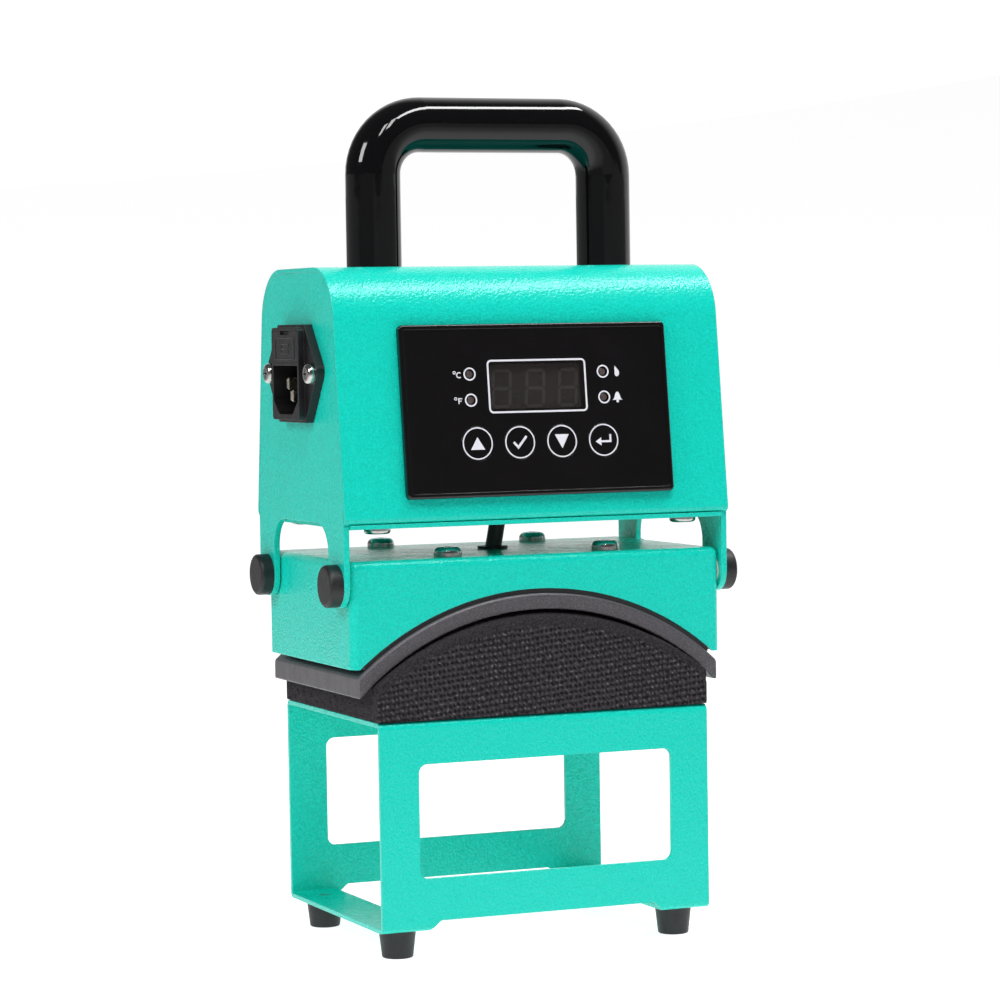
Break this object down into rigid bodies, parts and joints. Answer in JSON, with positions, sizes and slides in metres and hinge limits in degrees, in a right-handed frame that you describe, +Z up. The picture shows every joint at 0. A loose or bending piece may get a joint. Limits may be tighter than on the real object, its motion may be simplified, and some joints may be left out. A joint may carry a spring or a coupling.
{
  "type": "curved plate heat press",
  "caption": "Hand-held heat press with a curved heated plate, control panel and tube handle, resting on a folded stand with a crowned foam saddle.",
  "frame": {"origin": "on the table, midway between the four feet of the stand", "axes": "+Z up, +X to the user's right, the control panel faces -Y"},
  "size_m": [0.15, 0.09, 0.2879],
  "materials": {
    "teal_coat": "satin powder coat with a fine orange-peel grain",
    "handle_black": "high-gloss black coat",
    "black_rubber": "matt",
    "saddle_foam": "open-cell silicone foam, matt",
    "bright_steel": "nickel plated",
    "zinc_steel": "zinc plated",
    "panel_black": "high-gloss moulded plastic",
    "smoke_window": "smoked acrylic",
    "socket_black": "moulded nylon",
    "drawer_black": "moulded nylon",
    "board_green": "solder-masked laminate",
    "lamp_clear": "clear tinted resin",
    "component_black": "moulded",
    "component_blue": "moulded",
    "core_steel": "lacquered laminations",
    "terminal_green": "moulded",
    "lead_black": "flexible sheath",
    "core_blue": "flexible insulation",
    "ribbon_grey": "flat cable",
    "silicone_orange": "silicone",
    "ceramic_fibre": "felted ceramic fibre",
    "glass_clear": "clear",
    "nylon_white": "moulded",
    "brass_pin": "plated brass",
    "plate_alloy": "cast alloy with a satin non-stick coat"
  },
  "bodies": {
    "stand": {"stand_frame": "teal_coat", "foam_saddle": "saddle_foam", "rubber_feet": "black_rubber", "foot_screws": "zinc_steel"},
    "press": {"heating_plate": "plate_alloy", "plate_posts": "zinc_steel", "edge_gasket": "black_rubber", "heater_mat": "silicone_orange", "insulation_pad": "ceramic_fibre", "thermal_cutout": "component_black", "temperature_probe": "zinc_steel", "heater_cover": "teal_coat", "cover_screws": "bright_steel", "housing_cover": "teal_coat", "side_plate_left": "teal_coat", "side_plate_right": "teal_coat", "bottom_tray": "teal_coat", "tray_screws": "bright_steel", "flange_nuts": "zinc_steel", "heater_lead": "lead_black", "tray_grommet": "black_rubber", "heater_grommet": "black_rubber", "handle_tube": "handle_black", "handle_plugs": "zinc_steel", "handle_washers": "zinc_steel", "handle_bolts": "zinc_steel", "leg_screws": "zinc_steel", "leg_spacers": "nylon_white", "leg_nuts": "zinc_steel", "leg_caps": "black_rubber", "control_panel": "panel_black", "display_window": "smoke_window", "digit_module": "component_black", "display_board": "board_green", "display_board_screws": "zinc_steel", "indicator_lamps": "lamp_clear", "key_switches": "component_black", "buzzer": "component_black", "power_board": "board_green", "board_standoffs": "brass_pin", "board_screws": "zinc_steel", "power_relay": "component_blue", "terminal_block": "terminal_green", "transformer": "core_steel", "filter_capacitor": "component_black", "inlet_body": "socket_black", "inlet_pins": "brass_pin", "inlet_screws": "bright_steel", "inlet_nuts": "zinc_steel", "mains_wires": "core_blue", "heater_cores": "core_blue", "ribbon_cable": "ribbon_grey"},
    "fuse_drawer": {"fuse_drawer": "drawer_black", "fuse_glass": "glass_clear", "fuse_caps": "bright_steel"},
    "key_up": {"key_up": "panel_black"},
    "key_ok": {"key_ok": "panel_black"},
    "key_down": {"key_down": "panel_black"},
    "key_enter": {"key_enter": "panel_black"}
  },
  "joints": [
    {"name": "press_lift", "type": "slide", "parent": "stand", "child": "press", "axis": [0, 0, 1], "range_m": [0, 0.15]},
    {"name": "fuse_drawer_slide", "type": "slide", "parent": "press", "child": "fuse_drawer", "axis": [-1, 0, 0], "range_m": [0, 0.012]},
    {"name": "key_up_travel", "type": "slide", "parent": "press", "child": "key_up", "axis": [0, 0.9935, -0.1139], "range_m": [0, 0.0005], "stiffness_N_per_m": 1200},
    {"name": "key_ok_travel", "type": "slide", "parent": "press", "child": "key_ok", "axis": [0, 0.9935, -0.1139], "range_m": [0, 0.0005], "stiffness_N_per_m": 1200},
    {"name": "key_down_travel", "type": "slide", "parent": "press", "child": "key_down", "axis": [0, 0.9935, -0.1139], "range_m": [0, 0.0005], "stiffness_N_per_m": 1200},
    {"name": "key_enter_travel", "type": "slide", "parent": "press", "child": "key_enter", "axis": [0, 0.9935, -0.1139], "range_m": [0, 0.0005], "stiffness_N_per_m": 1200}
  ]
}
